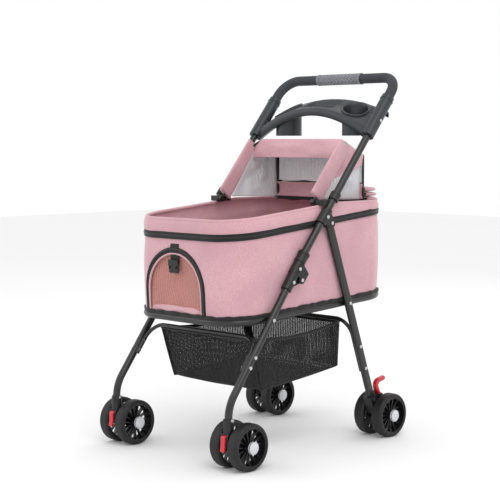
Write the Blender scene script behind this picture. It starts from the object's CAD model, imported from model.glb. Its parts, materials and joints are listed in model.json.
# A folding pet stroller: soft carrier on a tube ring, hood, parent tray, basket and four pairs of wheels.
# Metres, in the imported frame: +Z up, the front faces -Y, +X is the stroller's left side.
import json
import math

import bmesh
import bpy
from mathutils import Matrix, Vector, noise

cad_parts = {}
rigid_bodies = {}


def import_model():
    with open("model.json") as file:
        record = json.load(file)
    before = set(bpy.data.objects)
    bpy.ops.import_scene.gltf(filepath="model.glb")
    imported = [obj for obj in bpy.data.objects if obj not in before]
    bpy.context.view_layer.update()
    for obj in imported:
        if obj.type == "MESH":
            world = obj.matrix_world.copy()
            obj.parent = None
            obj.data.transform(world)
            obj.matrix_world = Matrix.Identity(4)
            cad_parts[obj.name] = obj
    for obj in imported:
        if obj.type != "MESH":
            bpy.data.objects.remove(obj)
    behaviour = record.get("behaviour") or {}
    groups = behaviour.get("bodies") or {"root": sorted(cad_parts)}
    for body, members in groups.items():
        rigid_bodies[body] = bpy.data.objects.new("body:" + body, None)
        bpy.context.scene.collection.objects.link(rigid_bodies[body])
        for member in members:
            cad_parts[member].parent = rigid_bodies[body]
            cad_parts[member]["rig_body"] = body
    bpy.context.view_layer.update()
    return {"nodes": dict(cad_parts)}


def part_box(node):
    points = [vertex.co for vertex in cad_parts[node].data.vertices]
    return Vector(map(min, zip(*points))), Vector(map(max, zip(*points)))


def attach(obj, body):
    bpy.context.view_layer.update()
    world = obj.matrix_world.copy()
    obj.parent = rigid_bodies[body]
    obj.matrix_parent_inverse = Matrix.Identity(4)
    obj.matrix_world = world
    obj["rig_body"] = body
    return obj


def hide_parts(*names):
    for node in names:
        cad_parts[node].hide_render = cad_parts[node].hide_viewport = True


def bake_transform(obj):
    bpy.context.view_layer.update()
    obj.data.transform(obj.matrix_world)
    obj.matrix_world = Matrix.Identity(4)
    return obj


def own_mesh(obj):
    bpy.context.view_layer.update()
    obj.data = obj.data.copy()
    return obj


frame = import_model()
MM = 0.001

# ---- Camera, floor and studio light ----
# A long lens from the front left, a little above the rim. Pale seamless floor, soft light from all round.

cam_data = bpy.data.cameras.new("camera")
cam_data.sensor_width = 36
cam_data.lens = 97.65
cam = bpy.data.objects.new("camera", cam_data)
cam.location = (2.491, -2.5368, 0.792)
cam.rotation_euler = (Vector((0, -0.0330, 0.5021)) - cam.location).to_track_quat("-Z", "Y").to_euler()
bpy.context.scene.collection.objects.link(cam)
bpy.context.scene.camera = cam
bpy.context.scene.view_settings.view_transform = "Standard"


def linear(code):
    """An sRGB hex colour as the linear colour that a socket takes."""
    parts = [int(code[i:i + 2], 16) / 255 for i in (0, 2, 4)]
    return [p / 12.92 if p <= 0.04045 else ((p + 0.055) / 1.055) ** 2.4 for p in parts] + [1]


def add(mat, kind, sockets, **settings):
    """Adds one node: settings are its own choices, sockets its input values or the outputs linked to them."""
    made = mat.node_tree.nodes.new("ShaderNode" + kind)
    for key, value in settings.items():
        setattr(made, key, value)
    for key, value in sockets.items():
        if isinstance(value, bpy.types.NodeSocket):
            mat.node_tree.links.new(value, made.inputs[key])
        else:
            made.inputs[key].default_value = value
    return made


def finish(name):
    """An empty material, and the Object coordinates that its patterns read."""
    mat = bpy.data.materials.new(name)
    mat.use_nodes = True
    mat.node_tree.nodes.clear()
    return mat, add(mat, "TexCoord", {}).outputs["Object"]


def surface(mat, **sockets):
    """Closes a material with its shader; an underscore in a socket's name stands for a space."""
    named = {key.replace("_", " "): value for key, value in sockets.items()}
    shader = add(mat, "BsdfPrincipled", named)
    add(mat, "OutputMaterial", {"Surface": shader.outputs[0]})
    return mat


floor_mat, where = finish("seamless_paper_floor")
grain = add(floor_mat, "TexNoise", {"Vector": where, "Scale": 40.0})
paper = add(floor_mat, "Bump", {"Height": grain.outputs[0], "Strength": 0.02, "Distance": 0.001})
surface(floor_mat, Base_Color=linear("f4f4f4"), Roughness=0.85, Normal=paper.outputs[0])
bm = bmesh.new()
bmesh.ops.create_grid(bm, x_segments=1, y_segments=1, size=9)
mesh = bpy.data.meshes.new("floor")
bm.to_mesh(mesh)
bm.free()
mesh.materials.append(floor_mat)
floor = bpy.data.objects.new("floor", mesh)
bpy.context.scene.collection.objects.link(floor)

world = bpy.data.worlds.new("studio")
world.use_nodes = True
world.node_tree.nodes["Background"].inputs[0].default_value = (1, 1, 1, 1)
world.node_tree.nodes["Background"].inputs[1].default_value = 1.0
bpy.context.scene.world = world
for name, place, size, power in [("key", (2.2, -1.2, 3.0), 2.4, 36), ("fill", (-2.6, -2.4, 2.2), 2.6, 14),
                                 ("back", (-0.5, 2.8, 2.4), 2.4, 14)]:
    light = bpy.data.lights.new(name, "AREA")
    light.size = size
    light.energy = power
    lamp = bpy.data.objects.new(name, light)
    lamp.location = place
    lamp.rotation_euler = (Vector((0, 0, 0.4)) - lamp.location).to_track_quat("-Z", "Y").to_euler()
    bpy.context.scene.collection.objects.link(lamp)

# ---- Carrier tub ----
# The soft basin the pet sits in. Padded pink Oxford cloth over thin foam, sewn as one wall with a doorway,
# bound along the top with a rolled pink edge and along the tube ring with loose black piping.

tub_low, tub_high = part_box("carrier_tub")
TUB_MID = (tub_low.y + tub_high.y) / 2
TUB_HALF = (tub_high.x, (tub_high.y - tub_low.y) / 2)
TUB_CORNER = 92 * MM
FLOOR_RISE = math.tan(math.radians(3.3))
RIM_RISE = math.tan(math.radians(5.3))
RIM_FRONT = tub_high.z - 34.6 * MM
RIM_TOP = tub_high.z + 3 * MM
ZIP_BELOW = 37 * MM
DOOR_MID = (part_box("door_mesh")[0].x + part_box("door_mesh")[1].x) / 2
DOOR_HALF = 99 * MM
DOOR_BASE = tub_low.z
DOOR_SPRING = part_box("door_mesh")[1].z - DOOR_HALF + 1 * MM
FOLD_DOWN = dict(joint="fold", axis=(0, 0, 1), anchor=(0, 0, tub_low.z), keep=0.36)


def blend_colours(mat, share, a, b):
    """Colour a where share is 0, colour b where it is 1."""
    mix = add(mat, "Mix", {"Factor": share}, data_type="RGBA")
    mix.inputs[6].default_value, mix.inputs[7].default_value = a, b
    return mix.outputs[2]


def woven(name, colour, shade, thread, crease=1.0, sheen=0.3, rough=0.82):
    """Plain-woven polyester: crossing threads, a slight mottle and soft creases."""
    mat, where = finish(name)
    turned = add(mat, "Mapping", {"Vector": where, "Rotation": (0, 0, math.pi / 4)}).outputs[0]
    weft = add(mat, "TexWave", {"Vector": where, "Scale": 0.31416 / thread}, bands_direction="Z").outputs[1]
    warp = add(mat, "TexWave", {"Vector": turned, "Scale": 0.22214 / thread}, bands_direction="X").outputs[1]
    threads = add(mat, "Math", {0: weft, 1: warp}, operation="MULTIPLY").outputs[0]
    mottle = add(mat, "TexNoise", {"Vector": where, "Scale": 9.0, "Detail": 6.0}).outputs[0]
    fibre = add(mat, "TexNoise", {"Vector": where, "Scale": 0.5 / thread, "Detail": 2.0}).outputs[0]
    tone = add(mat, "Math", {0: mottle, 1: fibre}, operation="MULTIPLY").outputs[0]
    span = add(mat, "MapRange", {"Value": tone, "From Min": 0.15, "From Max": 0.4}).outputs[0]
    shown = blend_colours(mat, span, linear(shade), linear(colour))
    fold = add(mat, "TexNoise", {"Vector": where, "Scale": 7.0, "Detail": 3.0, "Distortion": 0.6}).outputs[0]
    soft = add(mat, "Bump", {"Height": fold, "Strength": 0.35 * crease, "Distance": 0.012}).outputs[0]
    bump = add(mat, "Bump", {"Height": threads, "Strength": 0.25, "Distance": thread / 4, "Normal": soft})
    return surface(mat, Base_Color=shown, Roughness=rough, Sheen_Weight=sheen, Sheen_Roughness=0.5,
                   Normal=bump.outputs[0])


# Oxford cloth in 600 denier yarn; threads drawn at 1.6 mm, three times real, so the weave shows
pink_cloth = woven("pink_oxford_cloth", "d3a6ae", "c0929b", 1.6 * MM)
black_tape = woven("black_woven_tape", "0e0e0d", "080807", 1.2 * MM, crease=0.3, sheen=0.15)


def patch(across, along, place):
    """A sheet laid where place(u, v) says, closed where its edges meet."""
    bm = bmesh.new()
    bmesh.ops.create_grid(bm, x_segments=across, y_segments=along, size=0.5)
    for v in bm.verts:
        v.co = place(v.co.x + 0.5, v.co.y + 0.5)
    bmesh.ops.remove_doubles(bm, verts=bm.verts, dist=2e-6)
    bmesh.ops.recalc_face_normals(bm, faces=bm.faces)
    return bm


def piece(name, bm, mat, body, slot, stands_for=(), thick=0.0, offset=-1.0, bevel=0.0, levels=0, fold=None):
    """Makes a finished object: its mesh, finish, thickness, the body that it moves with and its slot."""
    mesh = bpy.data.meshes.new(name)
    bm.to_mesh(mesh)
    bm.free()
    mesh.polygons.foreach_set("use_smooth", [True] * len(mesh.polygons))
    obj = bpy.data.objects.new(name, mesh)
    bpy.context.scene.collection.objects.link(obj)
    mesh.materials.append(mat)
    if thick:
        wall = obj.modifiers.new("thickness", "SOLIDIFY")
        wall.thickness, wall.offset, wall.use_even_offset = thick, offset, False
    if bevel:
        mesh.set_sharp_from_angle(angle=math.radians(35))
        edge = obj.modifiers.new("edges", "BEVEL")
        edge.width, edge.segments, edge.limit_method = bevel, 2, "ANGLE"
        edge.angle_limit, edge.harden_normals = math.radians(35), True
    if levels:
        fine = obj.modifiers.new("smooth", "SUBSURF")
        fine.levels = fine.render_levels = levels
    if body:
        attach(obj, body)
    if stands_for:
        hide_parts(*stands_for)
    if fold:
        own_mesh(obj)
    return obj


def plan(share, out=0.0):
    """A point round the carrier's plan, from the middle of the rear, and the way it faces."""
    hx, hy, r = TUB_HALF[0] + out, TUB_HALF[1] + out, TUB_CORNER + out
    sides = [hx - r, r * math.pi / 2, 2 * (hy - r), r * math.pi / 2, 2 * (hx - r), r * math.pi / 2,
             2 * (hy - r), r * math.pi / 2, hx - r]
    at = share * sum(sides)
    run = 0
    while run < 8 and at > sides[run]:
        at -= sides[run]
        run += 1
    if run in (0, 8):
        x, y, face = (at if run == 0 else at - (hx - r)), hy, (0, 1)
    elif run == 2:
        x, y, face = hx, hy - r - at, (1, 0)
    elif run == 4:
        x, y, face = hx - r - at, -hy, (0, -1)
    elif run == 6:
        x, y, face = -hx, -hy + r + at, (-1, 0)
    else:
        turn = {1: 90, 3: 0, 5: -90, 7: 180}[run] - math.degrees(at / r)
        face = (math.cos(math.radians(turn)), math.sin(math.radians(turn)))
        sx, sy = (1 if run < 5 else -1), (1 if run in (1, 7) else -1)
        x, y = sx * (hx - r) + r * face[0], sy * (hy - r) + r * face[1]
    return Vector((x, y + TUB_MID, 0)), Vector((face[0], face[1], 0))


def floor_z(y):
    return tub_low.z + (y - tub_low.y) * FLOOR_RISE


def zip_z(y):
    return RIM_FRONT + (y - tub_low.y) * RIM_RISE - ZIP_BELOW


def rim_z(y):
    return min(RIM_TOP, RIM_FRONT + 3 * MM + (y - tub_low.y) * RIM_RISE)


def swell(p, z):
    """How far the padded wall stands out: a shallow puff below the zip, a fuller roll above it, creases."""
    low, mid, top = floor_z(p.y), zip_z(p.y), rim_z(p.y)
    if z < mid:
        part = (z - low) / (mid - low)
        out = 4.5 * MM * math.sin(math.pi * part) ** 0.7
        out += 2.2 * MM * noise.noise(Vector((p.x * 9, p.y * 9, z * 5))) * math.sin(math.pi * part)
    else:
        part = min(1, (z - mid) / max(0.02, top - mid))
        out = 5.5 * MM * math.sin(math.pi * part) ** 0.6
        out += 1.5 * MM * noise.noise(Vector((p.x * 22, p.y * 22, 4))) * math.sin(math.pi * part)
    return out


def wall(u, v):
    p, face = plan(u)
    z = floor_z(p.y) + v * (rim_z(p.y) - floor_z(p.y))
    out = swell(p, z)
    seam = 2.0 * MM * math.exp(-((p.y - TUB_MID - 203 * MM) / (4 * MM)) ** 2) if p.x > 0.18 else 0
    p = p + face * (out - seam)
    return Vector((p.x, p.y, z))


def arch_cutter(half, low, spring, y0, y1):
    """A prism over the doorway's arch."""
    bm = bmesh.new()
    bmesh.ops.create_circle(bm, cap_ends=True, segments=96, radius=half)
    for v in bm.verts:
        z = spring + v.co.y if v.co.y >= 0 else low + (v.co.y + half) * 0.01
        v.co = Vector((DOOR_MID + v.co.x, y0, z))
    lifted = bmesh.ops.extrude_face_region(bm, geom=bm.faces[:])["geom"]
    far = [g for g in lifted if isinstance(g, bmesh.types.BMVert)]
    bmesh.ops.translate(bm, verts=far, vec=(0, y1 - y0, 0))
    bmesh.ops.recalc_face_normals(bm, faces=bm.faces)
    return bm


def as_object(name, bm):
    mesh = bpy.data.meshes.new(name)
    bm.to_mesh(mesh)
    bm.free()
    obj = bpy.data.objects.new(name, mesh)
    bpy.context.scene.collection.objects.link(obj)
    return obj


def applied(obj):
    """The mesh of an object with its modifiers applied, as a bmesh; the object is removed."""
    ready = obj.evaluated_get(bpy.context.evaluated_depsgraph_get())
    bm = bmesh.new()
    bm.from_mesh(ready.to_mesh())
    ready.to_mesh_clear()
    bpy.data.objects.remove(obj)
    return bm


raw = as_object("tub_raw", patch(220, 40, wall))
shell = raw.modifiers.new("wall", "SOLIDIFY")
shell.thickness, shell.offset = 5 * MM, -1
cutter = as_object("door_cutter", arch_cutter(DOOR_HALF, DOOR_BASE - 20 * MM, DOOR_SPRING,
                                              tub_low.y - 30 * MM, tub_low.y + 60 * MM))
hole = raw.modifiers.new("doorway", "BOOLEAN")
hole.operation, hole.object, hole.solver = "DIFFERENCE", cutter, "EXACT"
bm = applied(raw)
bpy.data.objects.remove(cutter)
tub = piece("tub_wall", bm, pink_cloth, "carrier", "pink_fabric", ["carrier_tub"], fold=FOLD_DOWN)
tub.data.set_sharp_from_angle(angle=math.radians(50))


def sweep(path, profile, ups, closed=False):
    """A closed profile carried along a path; ups say which way its second axis points."""
    frames = []
    for i, p in enumerate(path):
        before = path[i - 1] if (i or closed) else p
        after = path[(i + 1) % len(path)] if (closed or i + 1 < len(path)) else p
        way = (after - before).normalized()
        side = way.cross(ups[i] if isinstance(ups, list) else ups).normalized()
        frames.append((p, side, side.cross(way)))
    if closed:
        frames.append(frames[0])
    n, m = len(frames) - 1, len(profile)

    def place(u, v):
        p, side, up = frames[round(u * n)]
        a, b = profile[round(v * m) % m]
        return p + side * a + up * b

    bm = patch(n, m, place)
    if not closed:
        bmesh.ops.holes_fill(bm, edges=[e for e in bm.edges if e.is_boundary], sides=0)
        bmesh.ops.recalc_face_normals(bm, faces=bm.faces)
    return bm


def oval(w, t, sides=12, power=0.5):
    """A rounded section w wide and t thick."""
    points = []
    for k in range(sides):
        c, s = math.cos(k * 2 * math.pi / sides), math.sin(k * 2 * math.pi / sides)
        points.append((w / 2 * math.copysign(abs(c) ** power, c), t / 2 * math.copysign(abs(s) ** power, s)))
    return points


def round_wall(height, out, steps=200, jitter=0.0):
    """Points round the wall at the height that height(y) gives, with the wall's own facing."""
    path, ups = [], []
    for k in range(steps):
        p, face = plan(k / steps)
        z = height(p.y)
        extra = jitter * noise.noise(Vector((p.x * 60, p.y * 60, 1)))
        p = p + face * (out + extra)
        path.append(Vector((p.x, p.y, z + extra)))
        ups.append(face)
    return path, ups


path, ups = round_wall(rim_z, -2.5 * MM, 220)
piece("rim_roll", sweep(path, oval(9 * MM, 9 * MM, 10, 1), ups, True), pink_cloth, "carrier", "pink_fabric",
      fold=FOLD_DOWN)
path, ups = round_wall(lambda y: floor_z(y) + 1 * MM, 1.5 * MM, 260, 2.5 * MM)
piece("ring_piping", sweep(path, oval(13 * MM, 9 * MM, 10, 1), ups, True), black_tape, "carrier",
      "black_fabric")

# ---- Carrier zips ----
# Black coil zips on woven tape: one round the rim that frees the cover, one round the doorway's arch.
# The coil stands along the middle of the tape, and a slider with a pull rests at one end.


def coil(name, colour):
    """Nylon zip coil: fine ridges across the run, a satin black."""
    mat, where = finish(name)
    ridge = add(mat, "TexWave", {"Vector": where, "Scale": 100.0, "Distortion": 0.5},
                bands_direction="DIAGONAL")
    bump = add(mat, "Bump", {"Height": ridge.outputs[1], "Strength": 0.5, "Distance": 0.001})
    return surface(mat, Base_Color=linear(colour), Roughness=0.38, Normal=bump.outputs[0])


zip_coil = coil("nylon_zip_coil", "131312")
path, ups = round_wall(zip_z, 3.2 * MM)
piece("rim_zip_tape", sweep(path, oval(18 * MM, 3 * MM, 12, 0.35), ups, True), black_tape, "carrier",
      "black_fabric", ["zip_tapes"], fold=FOLD_DOWN)
path, ups = round_wall(zip_z, 4.6 * MM)
piece("rim_zip_coil", sweep(path, oval(4.4 * MM, 3 * MM, 8, 1), ups, True), zip_coil, "carrier",
      "black_plastic", fold=FOLD_DOWN)


def front_wall(x, out):
    """The wall's front surface at x, standing out by out, and the way it faces."""
    r, bend = TUB_CORNER + out, abs(x) - (TUB_HALF[0] - TUB_CORNER)
    front = TUB_MID - TUB_HALF[1] - out
    if bend <= 0:
        return front, Vector((0, -1, 0))
    drop = r - math.sqrt(max(0, r * r - bend * bend))
    return front + drop, Vector((math.copysign(bend / r, x), -(r - drop) / r, 0))


def door_line(half, out, steps=72, low=0.0):
    """Points up one side of the doorway, round its arch and down the other side."""
    legs = DOOR_SPRING - DOOR_BASE - low
    path, ups = [], []
    for k in range(steps + 1):
        at = k / steps * (2 * legs + math.pi * half)
        if at < legs:
            x, z = -half, DOOR_BASE + low + at
        elif at < legs + math.pi * half:
            turn = math.pi - (at - legs) / half
            x, z = half * math.cos(turn), DOOR_SPRING + half * math.sin(turn)
        else:
            x, z = half, DOOR_SPRING - (at - legs - math.pi * half)
        y, face = front_wall(DOOR_MID + x, 0)
        p = Vector((DOOR_MID + x, y, z))
        stand = swell(p, z) if z > floor_z(y) else 0
        path.append(p + face * (stand + out))
        ups.append(face)
    return path, ups


for name, half, out, w, t, mat in [
        ("door_zip_tape", DOOR_HALF + 6 * MM, 0.6 * MM, 14 * MM, 3 * MM, black_tape),
        ("door_zip_coil", DOOR_HALF + 8 * MM, 2.4 * MM, 4 * MM, 3 * MM, zip_coil)]:
    path, ups = door_line(half, out, low=3 * MM)
    piece(name, sweep(path, oval(w, t, 12, 0.5), ups), mat, "carrier", "black_fabric", fold=FOLD_DOWN)
path, ups = door_line(DOOR_HALF - 3 * MM, 0, low=3 * MM)
piece("door_edge_binding", sweep(path, oval(5 * MM, 5 * MM, 10, 1), ups), pink_cloth, "carrier",
      "pink_fabric", fold=FOLD_DOWN)

# ---- Doorway ----
# A knitted mesh panel fills the arch, its zip-down flap lies bunched on the sill, and a webbing strap with a
# black side-release buckle hangs from the arch's top.


def knitted(name, colour, pitch, open_share, sheen=0.2):
    """Knitted polyester mesh: rows of small round holes that what is behind shows through."""
    mat, where = finish(name)
    turned = add(mat, "Mapping", {"Vector": where, "Rotation": (0, 0, math.pi / 4)}).outputs[0]
    rows = add(mat, "TexWave", {"Vector": where, "Scale": 0.31416 / pitch}, bands_direction="Z").outputs[1]
    wales = add(mat, "TexWave", {"Vector": turned, "Scale": 0.22214 / pitch}, bands_direction="X").outputs[1]
    cells = add(mat, "Math", {0: rows, 1: wales}, operation="MULTIPLY").outputs[0]
    shut = add(mat, "MapRange", {"Value": cells, "From Min": 0.12, "From Max": 0.5, "To Min": 1.0,
                                 "To Max": 1 - open_share}).outputs[0]
    mottle = add(mat, "TexNoise", {"Vector": where, "Scale": 14.0, "Detail": 4.0}).outputs[0]
    dark = [c * 0.72 for c in linear(colour)[:3]] + [1]
    shown = blend_colours(mat, mottle, dark, linear(colour))
    bump = add(mat, "Bump", {"Height": cells, "Strength": 0.4, "Distance": 0.0006})
    return surface(mat, Base_Color=shown, Roughness=0.75, Sheen_Weight=sheen, Alpha=shut,
                   Normal=bump.outputs[0])


door_knit = knitted("pink_knitted_mesh", "c2847a", 3 * MM, 0.5)


def door_sheet(u, v):
    z = DOOR_BASE + 3 * MM + v * (DOOR_SPRING + DOOR_HALF - DOOR_BASE - 4 * MM)
    over = max(0, z - DOOR_SPRING)
    half = math.sqrt(max(0, DOOR_HALF ** 2 - over ** 2)) - 1 * MM
    x = DOOR_MID + (2 * u - 1) * max(0, half)
    y, face = front_wall(x, 0)
    dent = 5 * MM * math.sin(math.pi * u) * math.sin(math.pi * v)
    dent += 1.5 * MM * noise.noise(Vector((x * 30, 0, z * 30)))
    return Vector((x, y, z)) - face * (2 * MM + dent)


piece("door_mesh_panel", patch(48, 40, door_sheet), door_knit, "carrier", "pink_mesh", ["door_mesh"],
      thick=0.8 * MM, fold=FOLD_DOWN)


def sill_flap(u, v):
    """The unzipped flap, bunched in soft folds on the doorway's sill."""
    x = DOOR_MID + (2 * u - 1) * (DOOR_HALF - 5 * MM)
    lump = 0.75 + 0.5 * noise.noise(Vector((x * 18, 3, 0)))
    turn = v * 2 * math.pi
    edge = math.sin(math.pi * min(1, max(0, u))) ** 0.25
    y = front_wall(x, 0)[0]
    tall, deep = (4 + 7 * lump) * MM * edge, 8 * MM * edge
    ripple = 1 + 0.16 * math.sin(3 * turn + x * 70)
    z = floor_z(y) + 4 * MM + tall * (1 + math.sin(turn) * ripple)
    return Vector((x, y + 7 * MM - deep * math.cos(turn) * ripple - 3 * MM * lump, z))


piece("door_flap_bunch", patch(60, 20, sill_flap), pink_cloth, "carrier", "pink_fabric", fold=FOLD_DOWN)


def moulded(name, colour, rough=0.42, grain=700.0, depth=0.0002, coat=0.0):
    """Injection-moulded plastic: spark-eroded grain and slightly uneven gloss."""
    mat, where = finish(name)
    spark = add(mat, "TexNoise", {"Vector": where, "Scale": grain, "Detail": 3.0}).outputs[0]
    cloud = add(mat, "TexNoise", {"Vector": where, "Scale": 18.0, "Detail": 3.0}).outputs[0]
    gloss = add(mat, "MapRange", {"Value": cloud, "From Min": 0.3, "From Max": 0.7, "To Min": rough - 0.06,
                                  "To Max": rough + 0.08}).outputs[0]
    dull = [c * 0.82 for c in linear(colour)[:3]] + [1]
    shown = blend_colours(mat, cloud, dull, linear(colour))
    bump = add(mat, "Bump", {"Height": spark, "Strength": 0.3, "Distance": depth}).outputs[0]
    return surface(mat, Base_Color=shown, Roughness=gloss, Coat_Weight=coat, Normal=bump)


black_nylon = moulded("black_glass_filled_nylon", "0f0f10", 0.42)


def block(bm, low, high, taper=1.0):
    """A box from low to high whose lower end narrows by taper, joined into bm."""
    made = bmesh.ops.create_cube(bm, size=1)["verts"]
    mid = (Vector(low) + Vector(high)) / 2
    size = Vector(high) - Vector(low)
    for v in made:
        slim = taper if v.co.z < 0 else 1
        v.co = Vector((mid.x + v.co.x * size.x * slim, mid.y + v.co.y * size.y, mid.z + v.co.z * size.z))
    return made


buckle_low, buckle_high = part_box("door_buckle")
mid_x, face_y = (buckle_low.x + buckle_high.x) / 2, buckle_high.y
strap = [Vector((mid_x, face_y - (1 if k else 0) * MM - 2 * MM * math.sin(k * 0.5),
                 buckle_high.z + 4 * MM - k * 5 * MM)) for k in range(9)]
piece("door_strap", sweep(strap, oval(32 * MM, 2.2 * MM, 12, 0.4), Vector((0, -1, 0))), black_tape, "carrier",
      "black_fabric", fold=FOLD_DOWN)
bm = bmesh.new()
top = buckle_high.z - 36 * MM
block(bm, (mid_x - 18 * MM, face_y - 8 * MM, top - 14 * MM), (mid_x + 18 * MM, face_y - 1 * MM, top))
block(bm, (mid_x - 11 * MM, face_y - 7 * MM, top - 22 * MM),
      (mid_x + 11 * MM, face_y - 1 * MM, top - 13 * MM), 0.8)
for s in (-1, 1):
    block(bm, (mid_x + s * 15 * MM - 2.5 * MM, face_y - 7 * MM, top - 24 * MM),
          (mid_x + s * 15 * MM + 2.5 * MM, face_y - 2 * MM, top - 12 * MM), 0.5)
block(bm, (mid_x - 17 * MM, face_y - 6 * MM, top - 33 * MM),
      (mid_x + 17 * MM, face_y - 1 * MM, top - 21 * MM), 0.9)
piece("door_buckle_body", bm, black_nylon, "carrier", "black_plastic", ["door_buckle"], bevel=1.2 * MM,
      fold=FOLD_DOWN)

# ---- Pad ----
# A removable quilted cushion on the stiff board: pink cloth over wadding, swollen between its seams.
# It is inflated by a short cloth simulation, then flattened where it lies on the board.

PAD_IN = 8 * MM
bm = bmesh.new()
bmesh.ops.create_circle(bm, cap_ends=False, segments=96, radius=1)
for k, v in enumerate(bm.verts):
    v.co = plan(k / 96, -PAD_IN - 10 * MM)[0]
bmesh.ops.contextual_create(bm, geom=bm.edges[:])
lifted = bmesh.ops.extrude_face_region(bm, geom=bm.faces[:])["geom"]
bmesh.ops.translate(bm, verts=[g for g in lifted if isinstance(g, bmesh.types.BMVert)], vec=(0, 0, 15 * MM))
for v in bm.verts:
    v.co.z += floor_z(v.co.y) + 14 * MM
bmesh.ops.recalc_face_normals(bm, faces=bm.faces)
cushion = as_object("pad_blank", bm)
voxels = cushion.modifiers.new("voxels", "REMESH")
voxels.mode, voxels.voxel_size = "VOXEL", 6 * MM
cushion = as_object("pad_sim", applied(cushion))
rest = [v.co.copy() for v in cushion.data.vertices]
cloth = cushion.modifiers.new("wadding", "CLOTH").settings
cloth.use_pressure, cloth.uniform_pressure_force = True, 4
cloth.effector_weights.gravity = 0
for at in range(1, 21):
    bpy.context.scene.frame_set(at)
bm = applied(cushion)
bpy.context.scene.frame_set(1)
bm.verts.ensure_lookup_table()
for v, start in zip(bm.verts, rest):
    move = v.co - start
    if move.length > 7 * MM:
        v.co = start + move.normalized() * 7 * MM
    ridge = min(1, abs(math.sin((start.y - TUB_MID) * math.pi / (95 * MM))) * 4)
    ridge *= min(1, abs(math.sin(start.x * math.pi / (90 * MM) + math.pi / 2)) * 4)
    if v.co.z > floor_z(v.co.y) + 20 * MM:
        v.co.z += (ridge - 1) * 5 * MM
    v.co.z = max(v.co.z, floor_z(v.co.y) + 11 * MM)
lining = woven("pink_lining_cloth", "cf9fa8", "b98b95", 1.6 * MM)
cushion = piece("pad_cushion", bm, lining, "carrier", "pad_fabric", ["pad"], levels=1)
path, ups = round_wall(lambda y: floor_z(y) + 24 * MM, -PAD_IN - 2 * MM)
piece("pad_piping", sweep(path, oval(5 * MM, 5 * MM, 8, 1), ups, True), lining, "carrier", "pad_fabric")

# ---- Hood ----
# A sprung wire bow in a padded pink sleeve, its legs hinged on the push tubes, with a wide band over its top.
# Behind it a cloth roof and sides run back to a rear panel with a mesh window, a pink band and a black zip.

bow_low, bow_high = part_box("hood_bow")
hinge = Vector((0, bow_low.y + 8.5 * MM, bow_low.z + 8.5 * MM))
LEAN = math.radians(50)
UP_BOW = Vector((0, math.cos(LEAN), math.sin(LEAN)))
BEHIND_BOW = Vector((0, math.sin(LEAN), -math.cos(LEAN)))
BOW_X = bow_high.x - 3.5 * MM
shell_low, shell_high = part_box("hood_shell")
REAR_Y = shell_high.y
BOW_TOP = 204 * MM
HOOD_HALF, CORNER_FROM, CORNER_DROP = 156 * MM, 140 * MM, 0.35
BAND_FALL, BAND_TUCK = 46 * MM, 16 * MM
for side, word in ((1, "left"), (-1, "right")):
    path = [hinge + UP_BOW * (16 + 176 * k / 24) * MM
            + Vector((side * (BOW_X - 0.5 * MM), 0, 0)) for k in range(25)]
    bm = sweep(path, oval(45 * MM, 10 * MM, 16, 0.6), Vector((side, 0, 0)))
    piece("hood_sleeve_" + word, bm, pink_cloth, "hood", "pink_fabric")
    for edge in (-1, 1):
        hem = [p + BEHIND_BOW * edge * 20 * MM + Vector((side * 3.6 * MM, 0, 0)) for p in path]
        piece(f"hood_hem_{word}_{'front' if edge < 0 else 'rear'}", sweep(hem, oval(1.6 * MM, 1.2 * MM, 6, 1),
              Vector((side, 0, 0))), pink_cloth, "hood", "pink_fabric")


def top_band(u, v):
    """The wide band, wrapped over the bow's cross wire and hanging forward from it."""
    x = (2 * u - 1) * 161 * MM
    corner = max(0, abs(x) - CORNER_FROM)
    top = hinge + UP_BOW * BOW_TOP - Vector((0, 0, corner * CORNER_DROP))
    turn = v * (BAND_FALL + BAND_TUCK)
    bulge = 2.5 * MM * noise.noise(Vector((x * 14, v * 3, 2)))
    if turn < BAND_FALL:
        share = turn / BAND_FALL
        at = top + Vector((0, -12 * MM, -48 * MM)) * (1 - share) + Vector((0, -3 * MM, 3 * MM))
        at += Vector((0, -1, 0)) * (4 * MM * math.sin(math.pi * share) + bulge)
    else:
        share = (turn - BAND_FALL) / BAND_TUCK
        at = top + Vector((0, -3 * MM + 12 * MM * share, 3 * MM + 2.5 * MM * math.sin(math.pi * share)))
    return Vector((x, at.y, at.z))


piece("hood_top_band", patch(60, 18, top_band), pink_cloth, "hood", "pink_fabric", ["hood_band"],
      thick=3 * MM, levels=1)
top = hinge + UP_BOW * BOW_TOP
hem = [Vector(((2 * k / 40 - 1) * 158 * MM, top.y - 17.5 * MM, top.z - 44 * MM)) for k in range(41)]
piece("hood_band_hem", sweep(hem, oval(1.6 * MM, 1.2 * MM, 6, 1), Vector((0, -1, 0))), pink_cloth, "hood",
      "pink_fabric")
grey_knit = knitted("pale_grey_knitted_mesh", "e6e8ea", 2.6 * MM, 0.72)
black_knit = knitted("black_knitted_mesh", "0d0d0e", 3.2 * MM, 0.8, sheen=0.05)
ROOF_REAR = shell_high.z - 34 * MM


def roof(u, v):
    x = (2 * u - 1) * HOOD_HALF
    near = top + Vector((0, 8 * MM, 1 * MM - max(0, abs(x) - CORNER_FROM) * CORNER_DROP))
    far = Vector((0, REAR_Y - 2 * MM, ROOF_REAR))
    sag = 9 * MM * math.sin(math.pi * v) * (1 - (2 * u - 1) ** 2)
    sag += 3 * MM * noise.noise(Vector((x * 15, v * 3, 8)))
    at = near.lerp(far, v)
    return Vector((x, at.y, at.z - sag))


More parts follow.
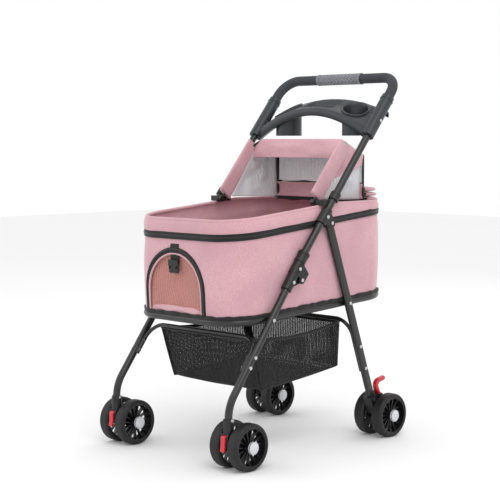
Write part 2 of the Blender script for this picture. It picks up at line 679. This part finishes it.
def hood_side(side, low_at, low_back, mid_back):
    """A side panel, from the bow's leg back to the rear panel, slack in soft folds."""
    def place(u, v):
        low = hinge + UP_BOW * low_at + BEHIND_BOW * 16 * MM
        high = top + Vector((0, 6 * MM, -4 * MM))
        roof_end = Vector((0, REAR_Y - 3 * MM, ROOF_REAR))
        back = low_back.lerp(mid_back, v * 2) if v < 0.5 else mid_back.lerp(roof_end, v * 2 - 1)
        at = low.lerp(high, v).lerp(back, u)
        fold = 0.7 + noise.noise(Vector((u * 4, v * 4, side)))
        puff = 13 * MM * math.sin(math.pi * u) * math.sin(math.pi * min(1, v * 0.9 + 0.1)) * fold
        return Vector((side * (HOOD_HALF + puff + 5 * MM * v), at.y, at.z))
    return place


REAR_LOW = Vector((0, REAR_Y - 3 * MM, shell_low.z + 4 * MM))
REAR_MID = Vector((0, REAR_Y - 3 * MM, shell_low.z + 60 * MM))
GUSSET_LOW = hinge + Vector((0, 137 * MM, 62 * MM))
GUSSET_MID = Vector((0, REAR_Y - 8 * MM, shell_high.z - 60 * MM))
LEFT_GUSSET = hood_side(1, 92 * MM, GUSSET_LOW, GUSSET_MID)
LEFT_MESH = hood_side(0.95, 20 * MM, REAR_LOW, REAR_MID)
RIGHT_MESH = hood_side(-1, 20 * MM, REAR_LOW, REAR_MID)
for name, form, mat, slot, stands_for in [
        ("hood_roof", patch(40, 20, roof), black_knit, "hood_fabric", ["hood_shell"]),
        ("hood_side_left", patch(28, 28, LEFT_GUSSET), pink_cloth, "pink_fabric", ()),
        ("hood_side_mesh", patch(28, 28, LEFT_MESH), grey_knit, "hood_fabric", ()),
        ("hood_side_right", patch(28, 28, RIGHT_MESH), grey_knit, "hood_fabric", ())]:
    cloth_piece = piece(name, form, mat, None, slot, stands_for, thick=1.2 * MM)
    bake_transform(cloth_piece)


def rear_sheet(low, high, bulge):
    def place(u, v):
        x = (2 * u - 1) * 158 * MM
        wave = bulge * math.sin(math.pi * v) + 2 * MM * noise.noise(Vector((x * 20, v * 2, low * 30)))
        return Vector((x, REAR_Y + wave - 2 * MM, low + (high - low) * v))
    return place


WINDOW_LOW = shell_low.z + 46 * MM
piece("hood_window", patch(40, 14, rear_sheet(WINDOW_LOW, ROOF_REAR, 1 * MM)), grey_knit, "push_frame",
      "hood_fabric", thick=0.8 * MM)
piece("hood_rear_band", patch(40, 10, rear_sheet(shell_low.z + 5 * MM, WINDOW_LOW, 5 * MM)), pink_cloth,
      "push_frame", "pink_fabric", thick=3 * MM)
for name, z, w, t in [("hood_window_binding", WINDOW_LOW, 7, 5), ("hood_roof_binding", ROOF_REAR, 8, 5),
                      ("hood_rear_zip", shell_low.z + 2 * MM, 14, 4)]:
    path = [Vector(((2 * k / 40 - 1) * 158 * MM, REAR_Y - 1 * MM, z + 1.5 * MM * math.sin(k * 0.6)))
            for k in range(41)]
    piece(name, sweep(path, oval(w * MM, t * MM, 12, 0.6), Vector((0, 1, 0))), black_tape, "push_frame",
          "black_fabric")
for side, word in ((1, "left"), (-1, "right")):
    path = [Vector((side * 158 * MM, REAR_Y - 1 * MM, shell_low.z + (ROOF_REAR - shell_low.z) * k / 12))
            for k in range(13)]
    bm = sweep(path, oval((6 if side > 0 else 18) * MM, 4 * MM, 10, 0.6), Vector((0, 1, 0)))
    piece("hood_corner_binding_" + word, bm, black_tape, "push_frame", "black_fabric")

# ---- Folded front cover ----
# The zip-off cover, folded in three and stowed on the rear of the rim: puffed pink layers edged with zips.

cover_low, cover_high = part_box("folded_cover")
LAYER_STEP = 13 * MM


def cover_layer(index):
    low = cover_low.z + index * LAYER_STEP
    mid_y = (cover_low.y + cover_high.y) / 2 - 1 * MM * index
    half_y = (cover_high.y - cover_low.y) / 2 - 2 * MM

    def place(u, v):
        x = (2 * u - 1) * (166 - 3 * index) * MM
        turn = v * 2 * math.pi
        edge = (1 - (2 * u - 1) ** 6) ** 0.5 * 0.85 + 0.15 if 0 < u < 1 else 0.02
        lump = 1 + 0.22 * noise.noise(Vector((x * 16, index * 5, math.sin(turn))))
        c, s = math.cos(turn), math.sin(turn)
        y = mid_y + half_y * edge * math.copysign(abs(c) ** 0.5, c) * (0.95 + 0.05 * lump)
        z = low + 7.5 * MM + 7.2 * MM * edge * math.copysign(abs(s) ** 0.7, s) * lump
        return Vector((x, y, z))
    return place


for index in range(3):
    layer = piece(f"cover_fold_{index + 1}", patch(64, 24, cover_layer(index)), pink_cloth, "carrier",
                  "pink_fabric", ["folded_cover"] if index == 0 else (), fold=FOLD_DOWN)
    path, ups = [], []
    half_x, half_y = (157 - 3 * index) * MM, (cover_high.y - cover_low.y) / 2 - 4 * MM
    for k in range(96):
        turn = k * math.pi / 48
        c, s = math.cos(turn), math.sin(turn)
        reach = Vector((math.copysign(abs(c) ** 0.22, c) * half_x,
                        math.copysign(abs(s) ** 0.5, s) * half_y, 0))
        wave = 1.5 * MM * noise.noise(Vector((reach.x * 20, reach.y * 20, index * 7)))
        path.append(reach + Vector((0, (cover_low.y + cover_high.y) / 2 - index * MM,
                                    cover_low.z + 8 * MM + LAYER_STEP * index + wave)))
        ups.append(Vector((c, s, 0)))
    piece(f"cover_zip_{index + 1}", sweep(path, oval(6 * MM, 3.4 * MM, 10, 0.7), ups, True), black_tape,
          "carrier", "black_fabric", fold=FOLD_DOWN)


def plated(name, colour, rough):
    """Nickel plate over pressed steel: bright, with fine wear."""
    mat, where = finish(name)
    wear = add(mat, "TexNoise", {"Vector": where, "Scale": 160.0, "Detail": 4.0}).outputs[0]
    gloss = add(mat, "MapRange", {"Value": wear, "From Min": 0.3, "From Max": 0.7, "To Min": rough - 0.08,
                                  "To Max": rough + 0.1}).outputs[0]
    bump = add(mat, "Bump", {"Height": wear, "Strength": 0.15, "Distance": 0.0003}).outputs[0]
    return surface(mat, Base_Color=linear(colour), Metallic=1.0, Roughness=gloss, Normal=bump)


nickel = plated("nickel_plated_steel", "c9c9cc", 0.28)

# ---- Storage basket ----
# One long sheet of black mesh slung from the front rod under and up to the rear rod, with a stiff grey base,
# mesh sides, and black binding along every edge.

basket_low, basket_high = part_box("storage_basket")
BASKET_HALF = basket_high.x
BASKET_FOLD = dict(joint="fold", axis=(0, 1, 0), anchor=(0, basket_low.y + 4 * MM, 0), keep=0.08)
PROFILE = [(basket_low.y + 2 * MM, 299 * MM), (basket_low.y + 41 * MM, basket_low.z),
           (basket_high.y - 4 * MM, 198 * MM), (basket_high.y - 2 * MM, basket_high.z)]


def basket_line(part, sag=5 * MM):
    """A point along the sling, from its front top to its rear top, with softened corners."""
    runs = [math.dist(a, b) for a, b in zip(PROFILE, PROFILE[1:])]
    at = part * sum(runs)
    for (a, b, run) in zip(PROFILE, PROFILE[1:], runs):
        if at <= run + 1e-9:
            share = at / run
            bow = sag * math.sin(math.pi * share)
            return Vector((0, a[0] + (b[0] - a[0]) * share, a[1] + (b[1] - a[1]) * share - bow * 0.6))
        at -= run
    return Vector((0, PROFILE[3][0], PROFILE[3][1]))


def basket_half(part):
    return BASKET_HALF - 7 * MM * math.sin(math.pi * part)


def sling(u, v):
    p = basket_line(v)
    x = (2 * u - 1) * basket_half(v)
    ripple = 3 * MM * noise.noise(Vector((x * 12, v * 4, 0)))
    return Vector((x, p.y + ripple, p.z - 4 * MM * (1 - (2 * u - 1) ** 2)))


piece("basket_sling", patch(48, 60, sling), black_knit, "front_frame", "black_fabric", ["storage_basket"],
      thick=1 * MM, fold=BASKET_FOLD)
base = woven("grey_base_cloth", "3a3a3c", "2a2a2b", 1.6 * MM)
BASE_SHARE = 0.47
front_share = math.dist(PROFILE[0], PROFILE[1])
front_share /= sum(math.dist(a, b) for a, b in zip(PROFILE, PROFILE[1:]))


def base_sheet(u, v):
    return sling(u * 0.98 + 0.01, front_share + v * BASE_SHARE) + Vector((0, 0, 1.5 * MM))


piece("basket_base", patch(30, 40, base_sheet), base, "front_frame", "black_fabric", thick=1.5 * MM,
      fold=BASKET_FOLD)


def basket_end(low, high, v):
    """A point up one end of the basket's side, between two corners of its profile."""
    return Vector((0, low[0] + (high[0] - low[0]) * v, low[1] + (high[1] - low[1]) * v))


for side, word in ((1, "left"), (-1, "right")):
    def side_sheet(u, v):
        front, rear = basket_end(PROFILE[1], PROFILE[0], v), basket_end(PROFILE[2], PROFILE[3], v)
        at = front.lerp(rear, u) - Vector((0, 0, 14 * MM * v * math.sin(math.pi * u)))
        bend = math.sin(math.pi * u)
        out = BASKET_HALF - 6 * MM * bend * (1 - v) + 2 * MM * bend * math.sin(math.pi * v)
        return Vector((side * out, at.y, at.z))
    piece("basket_side_" + word, patch(40, 20, side_sheet), black_knit, "front_frame", "black_fabric",
          thick=0.8 * MM, fold=BASKET_FOLD)
    path = [side_sheet(k / 40, 1) for k in range(41)]
    bm = sweep(path, oval(9 * MM, 4 * MM, 10, 0.7), Vector((1, 0, 0)))
    piece("basket_top_binding_" + word, bm, black_tape, "front_frame", "black_fabric", fold=BASKET_FOLD)
    path = [basket_line(k / 60) + Vector((side * basket_half(k / 60), 0, 0)) for k in range(61)]
    bm = sweep(path, oval(7 * MM, 3.5 * MM, 10, 0.7), Vector((1, 0, 0)))
    piece("basket_edge_binding_" + word, bm, black_tape, "front_frame", "black_fabric", fold=BASKET_FOLD)
for (y, z), word in ((PROFILE[0], "front"), (PROFILE[3], "rear")):
    path = [Vector(((2 * k / 30 - 1) * BASKET_HALF, y, z)) for k in range(31)]
    piece("basket_hem_" + word, sweep(path, oval(8 * MM, 12 * MM, 12, 1), Vector((0, 1, 0))), black_tape,
          "front_frame", "black_fabric", fold=BASKET_FOLD)

# ---- Moulded and bent parts of the frame ----
# Black powder-coated steel tube, riveted to black nylon sockets, clamps, forks and housings, with a grey-blue
# tray, red levers and pedals, and pressed caps. Moulded edges are rounded as their moulds leave them.


def coated(name, colour):
    """Powder coat on steel tube: a satin skin with a faint orange peel."""
    mat, where = finish(name)
    peel = add(mat, "TexNoise", {"Vector": where, "Scale": 900.0, "Detail": 1.0}).outputs[0]
    cloud = add(mat, "TexNoise", {"Vector": where, "Scale": 25.0, "Detail": 3.0}).outputs[0]
    gloss = add(mat, "MapRange", {"Value": cloud, "To Min": 0.26, "To Max": 0.42}).outputs[0]
    shown = blend_colours(mat, cloud, [c * 0.8 for c in linear(colour)[:3]] + [1], linear(colour))
    bump = add(mat, "Bump", {"Height": peel, "Strength": 0.2, "Distance": 0.0002}).outputs[0]
    return surface(mat, Base_Color=shown, Roughness=gloss, Coat_Weight=0.25, Normal=bump)


tube_black = coated("black_powder_coat", "111112")
tray_slate = moulded("slate_polypropylene", "2d3036", 0.38)
lever_red = moulded("red_acetal", "c8222f", 0.3, coat=0.3)
cap_grey = moulded("pale_grey_abs", "d3d5d9", 0.35)
rim_black = moulded("black_abs", "101011", 0.36)
tyre_eva, where = finish("black_eva_tyre")
tread = add(tyre_eva, "TexNoise", {"Vector": where, "Scale": 420.0, "Detail": 4.0}).outputs[0]
scuff = add(tyre_eva, "TexNoise", {"Vector": where, "Scale": 30.0, "Detail": 5.0}).outputs[0]
rubber = blend_colours(tyre_eva, scuff, linear("09090a"), linear("131314"))
rough_skin = add(tyre_eva, "Bump", {"Height": tread, "Strength": 0.35, "Distance": 0.0005}).outputs[0]
surface(tyre_eva, Base_Color=rubber, Roughness=0.6, Normal=rough_skin)
foam_slate, where = finish("slate_foam_sleeve")
cells = add(foam_slate, "TexVoronoi", {"Vector": where, "Scale": 650.0}).outputs[0]
cloud = add(foam_slate, "TexNoise", {"Vector": where, "Scale": 30.0}).outputs[0]
skin = blend_colours(foam_slate, cloud, linear("2c2e34"), linear("3f4249"))
pores = add(foam_slate, "Bump", {"Height": cells, "Strength": 0.4, "Distance": 0.0008}).outputs[0]
surface(foam_slate, Base_Color=skin, Roughness=0.78, Normal=pores)
board = woven("brown_board_cloth", "8d7f78", "766a63", 2 * MM)


def softened(node, mat, slot, width):
    """A copy of a moulded part, its loose triangles merged and its sharp edges rounded."""
    bm = bmesh.new()
    bm.from_mesh(frame["nodes"][node].data)
    bmesh.ops.remove_doubles(bm, verts=bm.verts, dist=2e-6)
    bmesh.ops.dissolve_limit(bm, angle_limit=math.radians(1), verts=bm.verts, edges=bm.edges)
    body = frame["nodes"][node]["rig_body"]
    return piece(node + "_moulding", bm, mat, body, slot, [node], bevel=width)


NYLON = {"hood_hinges": 1, "rear_housings": 1, "caster_sockets": 0.8, "fold_brackets_upper": 0.8,
         "fold_brackets_lower": 0.8, "rear_leg_brackets": 0.8, "caster_fork_left": 1, "caster_fork_right": 1,
         "lock_collar_left": 1, "lock_collar_right": 1}
for node, width in NYLON.items():
    softened(node, black_nylon, "black_plastic", width * MM)
for word in ("left", "right"):
    softened("swivel_lock_" + word, lever_red, "red_plastic", 1 * MM)
KEPT = {"seat_ring": tube_black, "front_leg": tube_black, "push_tube": tube_black,
        "rear_leg_left": tube_black, "rear_leg_right": tube_black, "front_rod": tube_black,
        "rear_rod": tube_black, "handle_bar": tube_black, "hood_bow": tube_black,
        "handle_foam": foam_slate, "tyre": tyre_eva, "rim": rim_black,
        "floor_board": board, "front_rivets": nickel, "push_rivets": nickel, "rear_rivets": nickel,
        "front_axle": nickel, "rear_axles": nickel}
for node, obj in frame["nodes"].items():
    for word, mat in KEPT.items():
        if node.startswith(word) and not obj.hide_render:
            obj.data.materials.clear()
            obj.data.materials.append(mat)

# ---- Parent tray ----
# A slate polypropylene moulding that bridges the push tubes: an arched front lip, a dished middle, two deep
# cup holders and a sleeve on each tube, all moulded in one and screwed through the sleeves.

tray_low, tray_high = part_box("parent_tray")
LIP_Y, BACK_Y = tray_low.y + 22 * MM, tray_high.y - 8 * MM
TRAY_HALF = 198 * MM
CUP_X, CUP_Y, CUP_R = 122 * MM, 244.1 * MM, 36 * MM
CUP_FLOOR = 800 * MM
UNDER_Z, LIP_Z, BACK_Z, DISH_DEEP = 854 * MM, 876 * MM, 901 * MM, 14 * MM


def tray_skin(x, y):
    """Height of the upper face: it climbs from the arched lip to the rear edge and dips in the middle."""
    part = min(1, max(0, (y - LIP_Y) / (BACK_Y - LIP_Y)))
    z = (LIP_Z - 1.45 * x * x) * (1 - part) + (BACK_Z - 1.0 * x * x) * part
    dip = min(1, max(0, (62 * MM - abs(x)) / (14 * MM))) * min(1, max(0, min(part - 0.12, 0.9 - part) * 7))
    return z - DISH_DEEP * dip * dip * (3 - 2 * dip)


def tray_form(u, v):
    x = (2 * u - 1) * TRAY_HALF
    low = UNDER_Z - 1.7 * x * x
    lip = tray_skin(x, LIP_Y)
    if v < 0.1:
        y, z = LIP_Y + (10 - 80 * v) * MM, low + 1.5 * MM * (1 - v * 10)
    elif v < 0.3:
        share = (v - 0.1) * 5
        y, z = LIP_Y - (2 + 4 * math.sin(math.pi * share)) * MM, low + (lip - low) * share
    elif v < 0.9:
        y = LIP_Y + (BACK_Y - LIP_Y) * (v - 0.3) / 0.6
        z = tray_skin(x, y)
    else:
        y, z = BACK_Y + 3 * MM, tray_skin(x, BACK_Y) - 14 * MM * (v - 0.9) * 10
    return Vector((x, y, z))


raw = as_object("tray_raw", patch(132, 60, tray_form))
shell = raw.modifiers.new("wall", "SOLIDIFY")
shell.thickness, shell.offset = 3 * MM, -1
cutters = []
for side in (1, -1):
    bm = bmesh.new()
    made = bmesh.ops.create_cone(bm, cap_ends=True, segments=64, radius1=CUP_R, radius2=CUP_R, depth=200 * MM)
    bmesh.ops.translate(bm, verts=made["verts"], vec=(side * CUP_X, CUP_Y, 880 * MM))
    cutters.append(as_object("cup_cutter", bm))
    bore = raw.modifiers.new("bore", "BOOLEAN")
    bore.operation, bore.object, bore.solver = "DIFFERENCE", cutters[-1], "EXACT"
bm = applied(raw)
for cutter in cutters:
    bpy.data.objects.remove(cutter)
tray = piece("tray_top", bm, tray_slate, "push_frame", "tray_plastic", ["parent_tray"])
tray.data.set_sharp_from_angle(angle=math.radians(50))
PUSH = Vector((0, math.cos(math.radians(50.5)), math.sin(math.radians(50.5))))
SLEEVE_STEPS = (0, 1, 3, 30, 60, 90, 118, 122, 132, 133.4)
for side, word in ((1, "left"), (-1, "right")):
    def cup(u, v):
        turn = u * 2 * math.pi
        r = CUP_R + 2.5 * MM if v < 0.08 else (CUP_R if v < 0.75 else CUP_R * max(0, 1 - (v - 0.75) * 4))
        x, y = side * CUP_X + r * math.cos(turn), CUP_Y + r * math.sin(turn)
        rim = tray_skin(x, y) + 1.5 * MM
        z = rim if v < 0.12 else (rim + (CUP_FLOOR - rim) * min(1, (v - 0.12) / 0.6))
        return Vector((x, y, z))
    piece("cup_well_" + word, patch(64, 24, cup), tray_slate, "push_frame", "tray_plastic", thick=3 * MM,
          offset=1)
    turns = [k * math.pi / 32 for k in range(64)]
    lip = [Vector((side * CUP_X + 37 * MM * math.cos(t), CUP_Y + 37 * MM * math.sin(t), 0)) for t in turns]
    lip = [Vector((q.x, q.y, tray_skin(q.x, q.y) + 1 * MM)) for q in lip]
    piece("cup_lip_" + word, sweep(lip, oval(4.5 * MM, 4 * MM, 10, 1), Vector((0, 0, 1)), True), tray_slate,
          "push_frame", "tray_plastic")
    foot = Vector((side * 206 * MM, 193.2 * MM, 799 * MM))
    path = [foot + PUSH * at * MM for at in SLEEVE_STEPS]
    bm = sweep(path, oval(34 * MM, 34 * MM, 28, 1), Vector((side, 0, 0)))
    piece("tray_sleeve_" + word, bm, tray_slate, "push_frame", "tray_plastic", bevel=1.2 * MM)
    seam = [foot + PUSH * 121 * MM + 17.2 * MM * (math.cos(k * math.pi / 20) * Vector((1, 0, 0))
            + math.sin(k * math.pi / 20) * PUSH.cross(Vector((1, 0, 0)))) for k in range(40)]
    piece("tray_sleeve_ring_" + word, sweep(seam, oval(2.5 * MM, 2 * MM, 8, 1), PUSH, True), tray_slate,
          "push_frame", "tray_plastic")

# ---- Brake pedals ----
# Red acetal levers behind the rear wheels: a flat blade that leans forward and curls back at its tip.

BLADE = [(0, -7), (-3, 6), (-9, 18), (-15, 29), (-16, 39), (-10, 46), (0, 49), (10, 50), (19, 54)]
for side, word in ((1, "left"), (-1, "right")):
    low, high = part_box("brake_pedal_" + word)
    start = Vector(((low.x + high.x) / 2, low.y + 26 * MM, low.z + 8.5 * MM))
    path = [start + Vector((0, a * MM, b * MM)) for a, b in BLADE]
    ups = [Vector((0, -1, 0.3)) if k < 5 else Vector((0, -0.3, 1)) for k in range(len(path))]
    piece("pedal_blade_" + word, sweep(path, oval(16 * MM, 12 * MM, 14, 0.6), ups), lever_red,
          "pedal_" + word, "red_plastic", ["brake_pedal_" + word], levels=1)

# ---- Hub caps ----
# Pressed domes over the axle ends, pale grey, one on each face of every wheel pair.

CAP = [(0, 2.6), (6, 2.5), (11, 1.6), (14, 0.4), (15.5, -1.2), (15.7, -4), (15.7, -4.6)]
CAP_REACH = 51.5 * MM
for front, node_word, half in ((True, "front", 208 * MM), (False, "rear", 205 * MM)):
    for side, word in ((1, "left"), (-1, "right")):
        name = f"front_axle_{word}" if front else "rear_axles"
        body = frame["nodes"][name]["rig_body"]
        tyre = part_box(f"tyre_{node_word}_{word}_outer")
        centre = (tyre[0] + tyre[1]) / 2
        for face in (1, -1):
            bm = bmesh.new()
            verts = [bm.verts.new((a * MM, 0, b * MM)) for a, b in CAP]
            edges = [bm.edges.new(pair) for pair in zip(verts, verts[1:])]
            bmesh.ops.spin(bm, geom=verts + edges, cent=(0, 0, 0), axis=(0, 0, 1), angle=2 * math.pi,
                           steps=40, use_merge=True)
            bmesh.ops.remove_doubles(bm, verts=bm.verts, dist=1e-6)
            out = (half + CAP_REACH * face) * side
            away = side * face
            for v in bm.verts:
                v.co = Vector((out + away * (v.co.z - 0.5 * MM), centre.y + v.co.x, centre.z + v.co.y))
            bmesh.ops.holes_fill(bm, edges=[e for e in bm.edges if e.is_boundary], sides=0)
            bmesh.ops.recalc_face_normals(bm, faces=bm.faces)
            end = "outer" if face > 0 else "inner"
            piece(f"hub_cap_{node_word}_{word}_{end}", bm, cap_grey, body, "rivet_steel")

# ---- Handle grip ----
# A rubber grip with a herringbone of small ribs between two plain collars, pushed over the middle of the bar.

grip_low, grip_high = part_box("handle_grip")
grip_rubber, where = finish("grey_tpr_rubber")
dust = add(grip_rubber, "TexNoise", {"Vector": where, "Scale": 300.0, "Detail": 3.0}).outputs[0]
cloud = add(grip_rubber, "TexNoise", {"Vector": where, "Scale": 24.0}).outputs[0]
shade = blend_colours(grip_rubber, cloud, linear("707278"), linear("85878d"))
skin = add(grip_rubber, "Bump", {"Height": dust, "Strength": 0.3, "Distance": 0.0004}).outputs[0]
surface(grip_rubber, Base_Color=shade, Roughness=0.62, Normal=skin)
GRIP_Y, GRIP_Z = (grip_low.y + grip_high.y) / 2, (grip_low.z + grip_high.z) / 2
COLLAR_LONG, COLLAR_R, MOUTH_R = 6 * MM, 15.8 * MM, 14 * MM
RIB_PITCH, RIB_SLANT = 13 * MM, 22 * MM


def grip_form(u, v):
    x = (2 * u - 1) * grip_high.x
    turn = v * 2 * math.pi
    inside = abs(x) < grip_high.x - COLLAR_LONG
    slant = abs((turn / (2 * math.pi) * 6) % 1 - 0.5) * RIB_SLANT
    rib = 0.5 + 0.5 * math.cos((x + slant) / RIB_PITCH * 2 * math.pi)
    r = (12.9 + 2.3 * min(1, rib * 1.6)) * MM if inside else COLLAR_R
    if u in (0, 1):
        r = MOUTH_R
    return Vector((x, GRIP_Y + r * math.cos(turn), GRIP_Z + r * math.sin(turn)))


bm = patch(260, 96, grip_form)
piece("grip_sleeve", bm, grip_rubber, "push_frame", "grip", ["handle_grip"])
